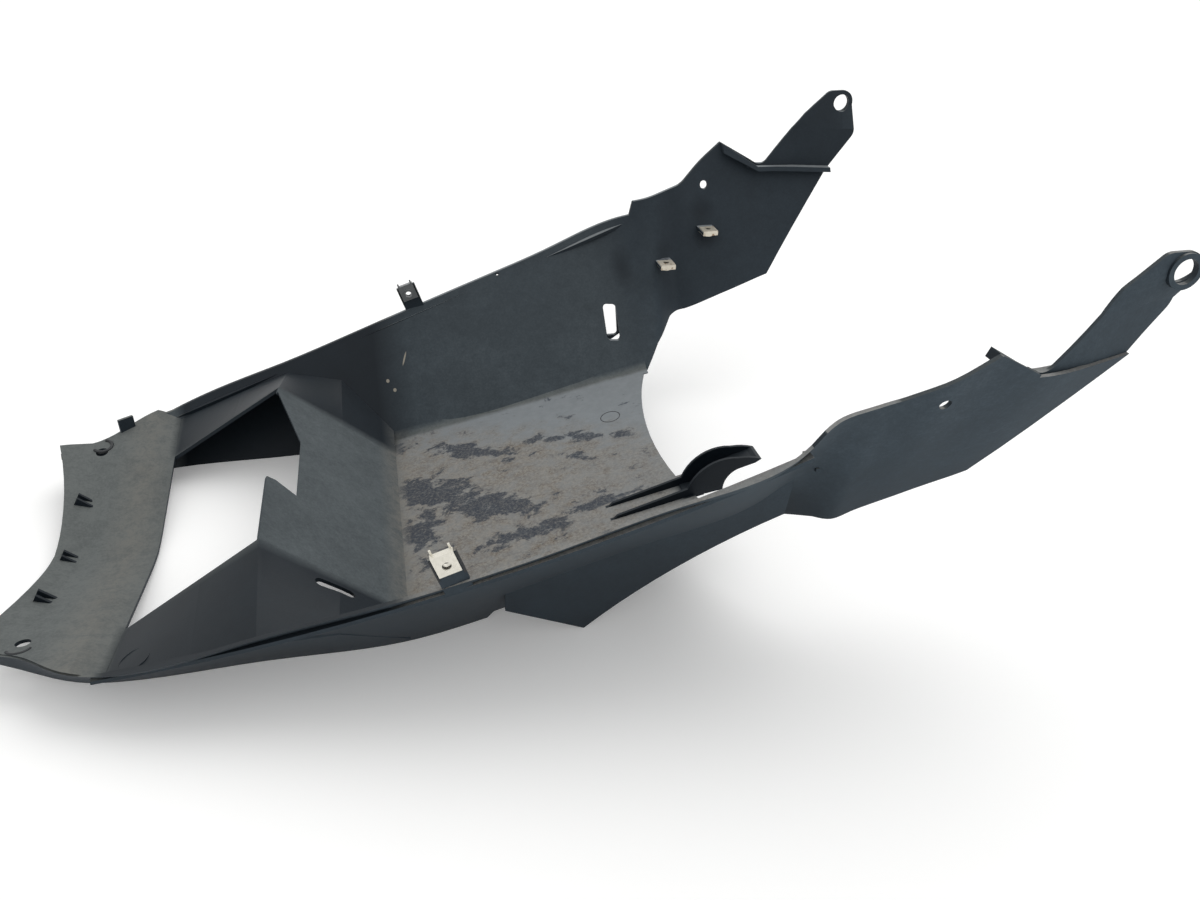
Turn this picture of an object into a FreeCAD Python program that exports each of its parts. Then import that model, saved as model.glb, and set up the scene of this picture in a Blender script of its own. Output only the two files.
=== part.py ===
import FreeCAD, Part
import math
import os

import Sketcher
from FreeCAD import Placement, Rotation, Vector

# Lower fairing of a scooter, lying as it rests on a table.
# X runs from the front edge to the rear ears, Y across, Z up.
# Sizes are in millimetres. X is measured from the rail clips, Z from the table,
# and the finished part is then moved to the bottom centre of its box.

SIZES = (
    # Moulded walls
    ("wall", 2.5, "thickness of the decks and panels"),
    ("skin", 3.2, "thickness of the leaning side walls, measured across"),
    # Top rail of the side walls
    ("rail_front_x", -203, "front end of the rail"),
    ("rail_front_half", 162, "half width at the front end"),
    ("rail_front_z", 35, "height at the front end"),
    ("rail_rear_x", 197, "rear end of the rail"),
    ("rail_rear_half", 212, "half width at the rear end"),
    ("rail_rear_z", 160.5, "height at the rear end"),
    ("rail_bow", 12, "how far the rail bows out at mid length"),
    ("rail_sag", 5.5, "how far the rail sags at mid length"),
    ("ledge_width", 6, "ledge inside the rail"),
    ("ledge_drop", 5, "ledge below the rail's edge"),
    ("ledge_hole_x", 78, "small hole in the far ledge"),
    ("ledge_hole_radius", 1.5, "that hole"),
    # Hem on the table
    ("hem_half", 128.5, "half width at the hem"),
    ("hem_front_x", -215, "front end of the hem"),
    ("hem_rear_x", 25, "rear end of the hem"),
    ("hem_round", 12, "rounding at the front end of the hem"),
    ("hem_step", 4, "length of the step from the hem up to the floor"),
    ("hem_step_round", 1, "rounding of that step"),
    # Front corners
    ("front_x", -263, "front edge at the middle"),
    ("front_sweep", 17, "how far the front corners reach past the middle"),
    ("corner_half", 118, "half width at the front corners"),
    ("corner_z", 29, "height of the front corners"),
    ("shoulder_x", -247, "where the corner's curve starts"),
    ("shoulder_half", 132, "half width there"),
    ("cheek_x", -225, "where that curve has turned halfway"),
    ("cheek_half", 149.5, "half width there"),
    ("corner_edge", 4, "height of the corner's upright edge"),
    ("corner_lean", 14, "how far the wall leans in from the corner to the table"),
    ("corner_run", 25, "how far the wall's surface is carried past the corner"),
    ("shoulder_rise", 1, "shoulder above the corner"),
    ("shoulder_round", 30, "rounding at the shoulder"),
    ("cheek_rise", 3, "cheek above the corner"),
    ("cheek_lean", 4, "how far the hem stands in below the cheek"),
    # Front dish
    ("dish_z", 5, "top of the dish at the middle"),
    ("dish_slope", 0.22, "rise of the dish towards the sides"),
    ("dish_round", 12, "rounding of the dish at the middle"),
    ("lip_rise", 6, "rise of the front lip"),
    ("lip_length", 15, "length of the front lip"),
    ("dish_over", 10, "how far the dish is carried past the rail's front end"),
    ("step_x", -213, "fold where the dish turns down to the opening"),
    ("opening_x", -196, "front edge of the opening"),
    ("opening_slope", 0.17, "rise of the opening's edge towards the sides"),
    ("front_hole_x", -250, "screw hole in the dish"),
    ("front_hole_half", 114, "screw hole from the middle"),
    ("front_hole_radius", 4.5, "screw hole"),
    # Shelves and bulkhead
    ("ridge_front_half", 106, "inner edge of the shelf at the opening"),
    ("ridge_half", 103, "half width of the bulkhead"),
    ("ridge_mid_x", -146, "middle of the ridge"),
    ("ridge_mid_z", 51.5, "height of the ridge at its middle"),
    ("bulkhead_x", -108, "top edge of the bulkhead"),
    ("bulkhead_z", 74.5, "height of the top edge"),
    ("notch_x", -91, "depth of the notch in the top edge"),
    ("notch_near", 35, "notch on the near side of the middle"),
    ("notch_far", 39, "notch on the far side of the middle"),
    ("notch_tip_far", 96, "far end of the notch's slanted side"),
    ("notch_run", 40, "how far the notch is cut past the top edge"),
    ("prong_tip", 5, "how far the prong's tip lies behind the top edge"),
    ("prong_slant", 6, "how far the prong's side slants"),
    ("bulkhead_over", 1, "how far the bulkhead reaches into the shelves"),
    ("toe_length", 5, "toe of the bulkhead in the floor"),
    ("toe_depth", 1.5, "how deep that toe is set"),
    ("flank_mid_x", -64, "middle of the flank"),
    ("flank_mid_z", 47, "height where the flank meets the wall there"),
    ("flank_low_z", 10, "height where the flank ends on the wall"),
    ("shelf_wall", 3, "thickness of the shelves, measured upright"),
    ("slot_near_x", -67, "slot in the near flank"),
    ("slot_near_half", 117, "slot from the middle"),
    ("slot_near_length", 22, "length of that slot"),
    ("slot_near_width", 7.5, "width of that slot"),
    # Floor
    ("floor_x", -25, "crease between bulkhead and floor"),
    ("floor_z", 3, "top of the floor at the crease"),
    ("floor_rear_x", 193, "rear corners of the floor"),
    ("floor_rear_z", 51.5, "top of the floor at its rear corners"),
    ("floor_rear_half", 124, "half width at its rear corners"),
    ("floor_hollow", 24, "how far the rear edge is hollowed"),
    ("floor_corner_round", 3, "rounding at the floor's rear corners"),
    ("crease_radius", 16, "rounding between floor and walls"),
    ("crease_lean", 30, "height over which the wall's lean is taken for that rounding"),
    # Belly fins
    ("fin_front_x", 34, "front end of the fin"),
    ("fin_front_half", 150.5, "half width there"),
    ("fin_front_z", 31.5, "height there"),
    ("fin_tip_x", 85, "tip of the fin"),
    ("fin_tip_half", 140, "half width at the tip"),
    ("fin_rear_x", 206, "rear end of the fin"),
    ("fin_rear_half", 161.5, "half width there"),
    ("fin_rear_z", 86, "height there"),
    ("fin_hollow", 8, "hollow of the fin's rear edge"),
    ("fin_root", 35, "how far the fin's plane is followed up to the wall"),
    # Rear arms
    ("arm_front_x", 232, "lower front corner of the arm"),
    ("arm_front_z", 83, "height there"),
    ("arm_root_run", 14, "corner behind the floor, where the arm starts"),
    ("arm_root_rise", 20, "height of that corner above the floor"),
    ("arm_root_round", 12, "rounding of that corner"),
    ("arm_front_run", 8, "half length of the bend at the lower front corner"),
    ("arm_front_dip", 1, "fall of that bend at its front"),
    ("arm_front_lift", 2, "rise of that bend at its rear"),
    ("arm_front_round", 4, "rounding at its front"),
    ("arm_front_turn", 3, "rounding at its rear"),
    ("arm_low_x", 316, "lower rear corner of the arm"),
    ("arm_low_z", 110, "height there"),
    ("arm_low_round", 2, "rounding there"),
    ("heel_in", 3, "heel below the ear, in front of the ear's hole"),
    ("heel_rise", 12, "heel above the valley"),
    ("heel_round", 40, "rounding at the heel"),
    ("arm_step_z", 171, "top of the step behind the rail"),
    ("arm_step_run", 4, "length of that step"),
    ("arm_step_round", 1.5, "rounding of that step"),
    ("arm_back_run", 40, "bend on the upper edge, in front of the peak"),
    ("arm_back_rise", 13.5, "height of that bend above the step"),
    ("arm_back_round", 25, "rounding of that bend"),
    ("peak_x", 284, "peak on the upper edge"),
    ("peak_z", 214.5, "height of the peak"),
    ("peak_round", 1, "rounding of the peak"),
    ("valley_x", 313, "valley between peak and ear"),
    ("valley_z", 194, "height of the valley"),
    ("valley_run", 7, "lowest point of the valley behind its start"),
    ("valley_round", 9, "rounding of the valley"),
    ("flange_width", 12, "flange behind the peak and the valley"),
    ("flange_wall", 3.5, "thickness of the flange, measured upright"),
    ("flange_shift", 2, "how far the flange starts behind the valley"),
    ("flange_rise", 1, "flange above the valley"),
    ("flange_heel", 12, "rear end of the flange, in front of the ear's hole"),
    # Ears
    ("ear_x", 388.5, "hole in the ear"),
    ("ear_z", 246, "height of that hole"),
    ("ear_half", 214.5, "half width of the ear plate"),
    ("ear_radius", 11, "rounded end of the ear"),
    ("ear_hole_radius", 7, "hole in the ear"),
    ("ear_ring", 1.6, "raised ring round that hole"),
    ("ear_ring_inset", 1, "how far the ring stands inside the ear's end"),
    ("ear_top", 10.5, "top of the ear above its hole"),
    ("ear_round", 10, "rounding at the ear's rear"),
    ("ear_back_in", 2, "how far the ear's back draws in"),
    ("ear_back_drop", 24, "lower end of the ear's back under its hole"),
    ("ear_nose", 11.5, "front of the ear's top from its hole"),
    ("ear_nose_round", 8, "rounding there"),
    ("ear_brow", 32.5, "front of the ear's shoulder from its hole"),
    ("ear_brow_drop", 7.5, "ear's shoulder under its hole"),
    ("ear_brow_round", 6, "rounding of the ear's shoulder"),
    ("ear_base", 2, "lower end of the ear strip's room above the valley"),
    ("strip_inset", 1.3, "how far the ear strip's foot stands inside the plate's outer face"),
    ("strip_foot", 1, "how far the ear strip starts below the valley"),
    ("strip_ahead", 6, "how far the ear strip starts in front of the valley"),
    ("strip_over", 30, "how far the ear strip is carried past the ear's hole"),
    ("strip_top_half", 227, "half width at the front of the ear strip's top"),
    ("strip_top_heel", 197, "half width at the rear of the ear strip's top"),
    ("strip_top_z", 226, "height of the top of the ear strip"),
    ("ear_foot_z", 244, "height where the ear plate starts"),
    ("arm_hole_x", 266, "small hole in the arm"),
    ("arm_hole_z", 181.5, "height of that hole"),
    ("arm_hole_radius", 3.4, "small hole in the arm"),
    # Slot in the far wall
    ("slot_far_x", 170, "slot in the far wall"),
    ("slot_far_z", 83, "height of its middle"),
    ("slot_far_width", 11, "width of that slot"),
    ("slot_far_height", 25, "height of that slot"),
    ("slot_far_round", 3, "rounding of its corners"),
    # Guide tongue
    ("guide_y", -64.5, "middle of the guide tongue"),
    ("guide_width", 18, "width of the guide tongue"),
    ("guide_sink", 1, "how far the tongue and its ribs are set into the floor"),
    ("guide_back_bulge", 10, "bulge of the tongue's back"),
    ("guide_throat_bulge", 3, "bulge of the tongue's throat"),
    ("guide_throat_run", 0.5, "throat behind the crown"),
    ("guide_heel_rise", 4, "rise of the tongue's heel"),
    ("guide_tail", 4, "length of the tongue's end face"),
    ("guide_tail_drop", 2.5, "fall of the tongue's end face"),
    ("guide_end_bulge", 0.5, "bulge behind the crown"),
    ("guide_end_lift", 0.8, "lift of that bulge"),
    ("guide_web_back", 1.54, "web of the tongue, measured along"),
    ("guide_web_rise", 1.76, "web of the tongue, measured upright"),
    ("guide_lead", 4, "slanted lead of the ribs"),
    ("guide_pad_length", 30, "floor that carries the tongue over the hollowed edge"),
    ("guide_pad_over", 10, "how far that floor is wider than the tongue"),
    ("guide_front_x", 119, "front end of the ribs on the floor"),
    ("guide_rib", 3, "height of those ribs"),
    ("guide_root_x", 171, "front of the tongue's root"),
    ("guide_root_length", 27, "length of the tongue's root"),
    ("guide_crown_x", 208, "crown of the tongue"),
    ("guide_crown_z", 73.5, "height of the crown"),
    ("guide_depth", 8.5, "depth of the tongue at its crown"),
    ("guide_end_x", 225, "rear end of the tongue"),
    ("guide_end_z", 71, "height of the rear end"),
    ("guide_wall", 2.2, "thickness of the tongue"),
    # Tabs and clips
    ("tab_width", 16, "clip tab on the rail"),
    ("tab_wall", 2.2, "thickness of a clip tab"),
    ("tab_half", 197.7, "clip tab from the middle"),
    ("tab_hole_z", 107.5, "height of the hole in the clip tab"),
    ("tab_over", 7, "tab above its hole"),
    ("tab_hole_radius", 4.2, "hole in a clip tab"),
    ("front_tab_x", -234, "front tab on the far side"),
    ("front_tab_width", 12, "width of the front tab"),
    ("front_tab_rise", 14, "height of the front tab"),
    ("front_tab_root", 3, "root of the front tab in the wall"),
    ("arm_tab_one_x", 221, "front clip tab in the arm"),
    ("arm_tab_one_z", 127, "height of that tab"),
    ("arm_tab_two_x", 263, "rear clip tab in the arm"),
    ("arm_tab_two_z", 149, "height of that tab"),
    ("arm_tab_width", 14, "width of those tabs"),
    ("arm_tab_reach", 19, "how far those tabs stand off the wall"),
    ("clip_width", 13, "width of a clip nut"),
    ("clip_leg", 13, "length of a clip nut's legs"),
    ("clip_sheet", 0.8, "spring steel of a clip nut"),
    ("clip_play", 0.1, "room between clip nut and tab"),
    ("clip_hole_radius", 2.6, "hole of a clip nut"),
    ("clip_collar_radius", 4, "collar of a clip nut"),
    ("clip_collar_rise", 2, "height of that collar"),
    # Ribs on the front dish
    ("rib_half", 58, "outer ribs from the middle"),
    ("rib_x", -255, "middle of the ribs"),
    ("rib_length", 15, "length of a rib"),
    ("rib_height", 9, "height of a rib"),
    ("rib_wall", 2, "thickness of a rib"),
    ("rib_gap", 4, "room between the two ribs of a pair"),
    ("rib_root", 1, "root of a rib in the dish"),
    ("rib_lean", 2, "top of a rib in front of its middle"),
)

doc = FreeCAD.newDocument("lower_fairing")
sheet = doc.addObject("Spreadsheet::Sheet", "sizes")
for row, (alias, value, meaning) in enumerate(SIZES, start=1):
    sheet.set(f"A{row}", meaning)
    sheet.set(f"B{row}", str(value))
    sheet.setAlias(f"B{row}", alias)
doc.recompute()


def size(alias):
    return float(sheet.get(alias))


WALL = size("wall")
SKIN = size("skin")
REACH = 600.0
PATCH = 1.0
ACROSS = Vector(0, 1, 0)
UP = Vector(0, 0, 1)


def mirrored(shape):
    return shape.mirror(Vector(0, 0, 0), ACROSS)


def fused(shapes):
    """One solid from shapes that overlap, joined one after another."""
    whole = shapes[0]
    for shape in shapes[1:]:
        whole = whole.fuse(shape)
    return whole


def rounded_path(points):
    """Edges through (first, second, radius) points of a plan, as vectors with their radius."""
    edges = []
    start = points[0][0]
    for index in range(1, len(points) - 1):
        corner, radius = points[index]
        back = (points[index - 1][0] - corner).normalize()
        ahead = (points[index + 1][0] - corner).normalize()
        if radius > 0:
            half = back.getAngle(ahead) / 2
            trim = radius / math.tan(half)
            middle = (back + ahead).normalize()
            bulge = corner + middle * (radius / math.sin(half) - radius)
            entry = corner + back * trim
            leave = corner + ahead * trim
            edges.append(Part.LineSegment(start, entry).toShape())
            edges.append(Part.Arc(entry, bulge, leave).toShape())
            start = leave
        else:
            edges.append(Part.LineSegment(start, corner).toShape())
            start = corner
    edges.append(Part.LineSegment(start, points[-1][0]).toShape())
    return edges


def side_point(x, z):
    return Vector(x, 0, z)


def side_prism(edges):
    """Solid of a side view outline, reaching past the far wall."""
    face = Part.Face(Part.Wire(edges))
    return face.extrude(ACROSS * REACH)


def closed_prism(points, direction):
    """Prism of a closed polygon of vectors."""
    return Part.Face(Part.makePolygon(points + [points[0]])).extrude(direction)


def ruled_slab(first, second, direction):
    """Slab on the ruled surface between two curves."""
    return Part.makeRuledSurface(first, second).extrude(direction)


def spline(points, parameters):
    curve = Part.BSplineCurve()
    curve.interpolate(Points=points, Parameters=parameters)
    return curve.toShape()


# Top rail, a parabola in plan and in side view
RAIL_START = Vector(size("rail_front_x"), size("rail_front_half"), size("rail_front_z"))
RAIL_END = Vector(size("rail_rear_x"), size("rail_rear_half"), size("rail_rear_z"))
RAIL_POLE = (RAIL_START + RAIL_END) / 2 + Vector(0, 2 * size("rail_bow"), -2 * size("rail_sag"))


def rail_curve(inward, down):
    shift = Vector(0, -inward, -down)
    curve = Part.BezierCurve()
    curve.setPoles([pole + shift for pole in (RAIL_START, RAIL_POLE, RAIL_END)])
    return curve


def rail_at(x):
    share = (x - RAIL_START.x) / (RAIL_END.x - RAIL_START.x)
    return rail_curve(0, 0).value(share)


# Floor plane
FLOOR_RISE = (size("floor_rear_z") - size("floor_z")) / (size("floor_rear_x") - size("floor_x"))


def floor_at(x):
    return size("floor_z") + FLOOR_RISE * (x - size("floor_x"))


# Outer face of the far side: at each station a leaning line from a low to a high point
FACE_LOW_Z = -25.0
FACE_HIGH_Z = 290.0

# Shares of the floor's length where the wall above it is measured
FLOOR_SHARES = (0.33, 0.66, 0.97)

# Rear arm: station, half width and height at the lower edge, half width and height at the upper edge
ARM_FORM = (
    (212, 145, 76, 208, 175),
    (232, 169, 83, 209, 181),
    (241, 169, 85, 211, 185.5),
    (262, 169, 91, 223, 199),
    (284, 170.5, 98.5, 229.5, 216.5),
    (313, 174, 110, 222.5, 198),
    (352, 195.6, 164.3, 213.5, 195.5),
    (388, 199, 190, 204.5, 200),
    (420, 191, 190, 196.5, 200),
)


def wall_stations():
    """Station, half width and height at the foot, half width and height at the top."""
    hem = size("hem_half")
    corner_x = size("front_x") - size("front_sweep")
    corner = size("corner_half")
    corner_z = size("corner_z")
    past = size("corner_run")
    lean = size("corner_lean")
    shoulder = size("shoulder_half")
    shoulder_z = corner_z + size("shoulder_rise")
    cheek_z = corner_z + size("cheek_rise")
    stations = [
        (corner_x - past, corner - past - lean, 0, corner - past, corner_z),
        (corner_x, corner - lean, 0, corner, corner_z),
        (size("shoulder_x"), shoulder - lean, 0, shoulder, shoulder_z),
        (size("cheek_x"), hem - size("cheek_lean"), 0, size("cheek_half"), cheek_z),
    ]
    for x in (RAIL_START.x, (RAIL_START.x + size("floor_x")) / 2, size("floor_x")):
        top = rail_at(x)
        stations.append((x, hem, 0, top.y, top.z))
    span = RAIL_END.x - size("floor_x")
    for share in FLOOR_SHARES:
        x = size("floor_x") + span * share
        top = rail_at(x)
        foot = hem + (size("floor_rear_half") - hem) * share
        stations.append((x, foot, floor_at(x), top.y, top.z))
    return stations + list(ARM_FORM)


def outer_face():
    low_points = []
    high_points = []
    parameters = []
    for x, low_y, low_z, high_y, high_z in wall_stations():
        lean = (high_y - low_y) / (high_z - low_z)
        low_points.append(Vector(x, low_y + lean * (FACE_LOW_Z - low_z), FACE_LOW_Z))
        high_points.append(Vector(x, low_y + lean * (FACE_HIGH_Z - low_z), FACE_HIGH_Z))
        parameters.append(x)
    return Part.makeRuledSurface(spline(low_points, parameters), spline(high_points, parameters))


OUTER = outer_face()


def inside(depth):
    """Half volume from the middle plane to a depth under the outer face."""
    face = OUTER.copy()
    face.translate(Vector(0, -depth, 0))
    half_space = Part.makeBox(2 * REACH, REACH, 2 * REACH, Vector(-REACH, 0, -REACH))
    return face.extrude(ACROSS * -REACH).common(half_space)


INSIDE = inside(SKIN / 2)


# Side walls and arms
def side_outline():
    """Corners of the side view with their roundings, from the rail's front end round to its rear end."""
    floor_drop = WALL * math.sqrt(1 + FLOOR_RISE ** 2)
    hem_end = size("hem_rear_x")
    step_end = hem_end + size("hem_step")
    ear = side_point(size("ear_x"), size("ear_z"))
    low = side_point(size("arm_low_x"), size("arm_low_z"))
    front = side_point(size("arm_front_x"), size("arm_front_z"))
    bend = size("arm_front_run")
    rear_floor = side_point(size("floor_rear_x"), size("floor_rear_z") - floor_drop)
    arm_root = rear_floor + side_point(size("arm_root_run"), size("arm_root_rise"))
    corner_x = size("front_x") - size("front_sweep")
    shoulder = side_point(size("shoulder_x"), size("corner_z") + size("shoulder_rise"))
    heel = side_point(size("ear_x") - size("heel_in"), size("valley_z") + size("heel_rise"))
    ear_back = ear + side_point(size("ear_radius") - size("ear_back_in"), -size("ear_back_drop"))
    valley = side_point(size("valley_x") + size("valley_run"), size("valley_z"))
    arm_back = side_point(size("peak_x") - size("arm_back_run"), size("arm_step_z") + size("arm_back_rise"))
    points = [
        (side_point(RAIL_START.x, RAIL_START.z), 0),
        (shoulder, size("shoulder_round")),
        (side_point(corner_x, size("corner_z")), 0),
        (side_point(corner_x, size("corner_z") - size("corner_edge")), 0),
        (side_point(size("hem_front_x"), 0), size("hem_round")),
        (side_point(hem_end, 0), 0),
        (side_point(step_end, floor_at(step_end) - floor_drop), size("hem_step_round")),
        (rear_floor, size("floor_corner_round")),
        (arm_root, size("arm_root_round")),
        (front - side_point(bend, size("arm_front_dip")), size("arm_front_round")),
        (front + side_point(bend, size("arm_front_lift")), size("arm_front_turn")),
        (low, size("arm_low_round")),
        (heel, size("heel_round")),
        (ear_back, size("ear_round")),
        (ear + side_point(size("ear_radius"), size("ear_top")), size("ear_round")),
        (ear + side_point(-size("ear_nose"), size("ear_top")), size("ear_nose_round")),
        (ear - side_point(size("ear_brow"), size("ear_brow_drop")), size("ear_brow_round")),
        (valley, size("valley_round")),
        (side_point(size("peak_x"), size("peak_z")), size("peak_round")),
        (arm_back, size("arm_back_round")),
        (side_point(RAIL_END.x + size("arm_step_run"), size("arm_step_z")), size("arm_step_round")),
        (side_point(RAIL_END.x, RAIL_END.z), 0),
    ]
    return points


def rail_side_edge():
    curve = Part.BezierCurve()
    curve.setPoles([side_point(pole.x, pole.z) for pole in (RAIL_START, RAIL_POLE, RAIL_END)])
    return curve.toShape()


def ear_region():
    """Space behind the valley, where the ear strip stands inside the plate."""
    corner = Vector(size("valley_x"), 0, size("valley_z") + size("ear_base"))
    return Part.makeBox(REACH, REACH, REACH, corner)


def side_wall():
    slab = OUTER.extrude(ACROSS * -SKIN)
    outline = side_prism(rounded_path(side_outline()) + [rail_side_edge()])
    plate = slab.common(outline).cut(ear_region())
    return fused([plate, ear_strip(outline), ear_flange(), ear_ring()])


def ear_strip(outline):
    """Strip that carries the ear, with the bend below the ear plate."""
    foot_z = size("valley_z") - size("strip_foot")
    heights = (foot_z, size("strip_top_z"), size("ear_foot_z"), size("ear_z") + size("strip_over"))
    front = size("valley_x") - size("strip_ahead")
    rear = size("ear_x") + size("strip_over")
    sections = []
    for x in (front, (front + size("ear_x")) / 2, size("ear_x"), rear):
        share = (x - front) / (rear - front)
        foot = on_wall(x, foot_z, size("strip_inset")).y
        top = size("strip_top_half") + (size("strip_top_heel") - size("strip_top_half")) * share
        widths = (foot, top, size("ear_half"), size("ear_half"))
        face = [Vector(x, y, z) for y, z in zip(widths, heights)]
        back = [point - ACROSS * WALL for point in reversed(face)]
        sections.append(Part.makePolygon(face + back + face[:1]))
    strip = Part.makeLoft(sections, True, True)
    above = Part.makeBox(REACH, REACH, REACH, Vector(front, 0, foot_z))
    return strip.common(outline).common(above)


def ear_flange():
    """Flange that runs in from the edge behind the peak, along the foot of the ear strip."""
    peak = side_point(size("peak_x"), size("peak_z"))
    level = size("valley_z") + size("flange_rise")
    valley = side_point(size("valley_x") + size("flange_shift"), level)
    heel = side_point(size("ear_x") - size("flange_heel"), level)
    drop = side_point(0, -size("flange_wall"))
    points = [peak, valley, heel, heel + drop, valley + drop, peak + drop * 2]
    band = closed_prism(points, ACROSS * REACH)
    return band.common(inside(SKIN / 2)).cut(inside(size("flange_width")))


def ear_ring():
    base = Vector(size("ear_x"), size("ear_half") - WALL / 2, size("ear_z"))
    radius = size("ear_radius") - size("ear_ring_inset")
    return Part.makeCylinder(radius, WALL / 2 + size("ear_ring"), base, ACROSS)


# Inner decks
DISH_STEPS = 8


def dish_height(y, middle_z, slope):
    """Height of the dish across its width: a V rounded at the middle."""
    rounding = size("dish_round")
    return middle_z + slope * (math.hypot(y, rounding) - rounding)


def dish_curve(x, sweep, middle_z, slope):
    """Cross curve of the far half of the dish, swept forward towards the corner."""
    reach = size("corner_half")
    width = RAIL_START.y + size("dish_over")
    points = []
    for step in range(DISH_STEPS + 1):
        y = width * step / DISH_STEPS
        points.append(Vector(x - sweep * (y / reach) ** 2, y, dish_height(y, middle_z, slope)))
    return spline(points, list(range(DISH_STEPS + 1)))


def dish():
    """Far half of the front dish: lip, floor and the band that turns down to the opening."""
    slope = size("dish_slope")
    middle_z = size("dish_z")
    sweep = size("front_sweep")
    fold_x = size("front_x") + size("lip_length")
    curves = [
        dish_curve(size("front_x"), sweep, middle_z + size("lip_rise"), slope),
        dish_curve(fold_x, sweep / 2, middle_z, slope),
        dish_curve(size("step_x"), 0, middle_z, slope),
        dish_curve(size("opening_x"), 0, middle_z, size("opening_slope")),
    ]
    down = UP * -WALL
    bands = [ruled_slab(first, second, down) for first, second in zip(curves, curves[1:])]
    return fused(bands).common(INSIDE)


def on_wall(x, z, depth):
    """Point on the far side's surface at a depth under its outer face."""
    hit = OUTER.common(Part.makeBox(PATCH, REACH, PATCH, Vector(x - PATCH / 2, 0, z - PATCH / 2)))
    return Vector(x, hit.CenterOfMass.y - depth, z)


def shelf():
    """Far shelf from the opening up to the bulkhead, and its flank down to the floor."""
    edge = size("opening_x")
    depth = SKIN / 2
    drop = size("ledge_drop") + WALL
    ridge_front = Vector(edge, size("ridge_front_half"),
                         dish_height(size("ridge_front_half"), size("dish_z"), size("opening_slope")))
    ridge_mid_half = (size("ridge_front_half") + size("ridge_half")) / 2
    ridge_mid = Vector(size("ridge_mid_x"), ridge_mid_half, size("ridge_mid_z"))
    ridge_rear = Vector(size("bulkhead_x"), size("ridge_half"), size("bulkhead_z"))
    front_wall = on_wall(edge, rail_at(edge).z - drop, depth)
    mid_wall = on_wall(ridge_mid.x, rail_at(ridge_mid.x).z - drop, depth)
    rear_wall = on_wall(ridge_rear.x, rail_at(ridge_rear.x).z - drop, depth)
    bulkhead_rise = (size("bulkhead_z") - size("floor_z")) / (size("floor_x") - size("bulkhead_x"))
    flank_x = size("flank_mid_x")
    flank_z = size("floor_z") + bulkhead_rise * (size("floor_x") - flank_x)
    flank_mid = Vector(flank_x, size("ridge_half"), flank_z)
    flank_mid_wall = on_wall(flank_x, size("flank_mid_z"), depth)
    flank_low = Vector(size("floor_x"), size("ridge_half"), size("floor_z"))
    flank_low_wall = on_wall(size("floor_x"), size("flank_low_z"), depth)
    inner = [ridge_front, ridge_mid, ridge_rear, flank_mid, flank_low]
    outer = [front_wall, mid_wall, rear_wall, flank_mid_wall, flank_low_wall]
    down = UP * -size("shelf_wall")
    panels = []
    for index in range(len(inner) - 1):
        first = Part.LineSegment(inner[index], inner[index + 1]).toShape()
        second = Part.LineSegment(outer[index], outer[index + 1]).toShape()
        panels.append(ruled_slab(first, second, down))
    return fused(panels)


def bulkhead():
    """Sloping bulkhead with the notch in its top edge, its foot set into the floor."""
    half = size("ridge_half") + size("bulkhead_over")
    top = Vector(size("bulkhead_x"), -half, size("bulkhead_z"))
    foot = Vector(size("floor_x"), -half, size("floor_z"))
    normal = (foot - top).cross(ACROSS).normalize()
    if normal.z > 0:
        normal = normal * -1
    toe = foot + (foot - top).normalize() * size("toe_length")
    panel = closed_prism([top, toe, toe + normal * WALL, top + normal * WALL], ACROSS * (2 * half))
    under = Vector(-REACH / 2, -REACH / 2, size("floor_z") - size("toe_depth") - REACH)
    panel = panel.cut(Part.makeBox(REACH, REACH, REACH, under))
    front = size("bulkhead_x") - size("notch_run")
    plan = [
        (front, -size("notch_near")),
        (size("bulkhead_x") + size("prong_tip"), size("prong_slant") - size("notch_near")),
        (size("notch_x"), -size("notch_near")),
        (size("notch_x"), size("notch_far")),
        (size("bulkhead_x"), size("notch_tip_far")),
        (front, size("notch_tip_far")),
    ]
    notch = closed_prism([Vector(x, y, 0) for x, y in plan], UP * REACH)
    return panel.cut(notch)


def floor():
    """Sloping floor with its hollowed rear edge."""
    front = Vector(size("floor_x"), 0, size("floor_z"))
    rear = Vector(size("floor_rear_x"), 0, size("floor_rear_z"))
    drop = UP * -WALL
    slab = closed_prism([front, rear, rear + drop, front + drop], ACROSS * REACH)
    half = slab.common(INSIDE)
    hollow = size("floor_hollow")
    chord = size("floor_rear_half")
    radius = (chord ** 2 + hollow ** 2) / (2 * hollow)
    scoop = Part.makeCylinder(radius, REACH, Vector(rear.x - hollow + radius, 0, -REACH / 2))
    return half.cut(scoop)


def crease():
    """Rounded fill along the corner between the floor and the far wall."""
    radius = size("crease_radius")
    sections = []
    for x in (size("floor_x"), size("floor_rear_x")):
        corner = on_wall(x, floor_at(x), SKIN)
        higher = on_wall(x, floor_at(x) + size("crease_lean"), SKIN)
        up_wall = (higher - corner).normalize()
        inward = Vector(0, -1, 0)
        half = up_wall.getAngle(inward) / 2
        reach = radius / math.tan(half)
        middle = (up_wall + inward).normalize()
        on_floor = corner + inward * reach
        on_side = corner + up_wall * reach
        bulge = corner + middle * (radius / math.sin(half) - radius)
        root = corner - middle
        edges = [
            Part.Arc(on_floor, bulge, on_side).toShape(),
            Part.LineSegment(on_side, on_side - middle).toShape(),
            Part.LineSegment(on_side - middle, root).toShape(),
            Part.LineSegment(root, on_floor - middle).toShape(),
            Part.LineSegment(on_floor - middle, on_floor).toShape(),
        ]
        sections.append(Part.Wire(edges))
    return Part.makeLoft(sections, True, True)


def rail_ledge():
    """Ledge along the inside of the rail."""
    inner = size("ledge_width") + SKIN / 2
    drop = size("ledge_drop")
    first = rail_curve(SKIN / 2, drop).toShape()
    second = rail_curve(inner, drop).toShape()
    return ruled_slab(first, second, UP * -WALL)


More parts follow.
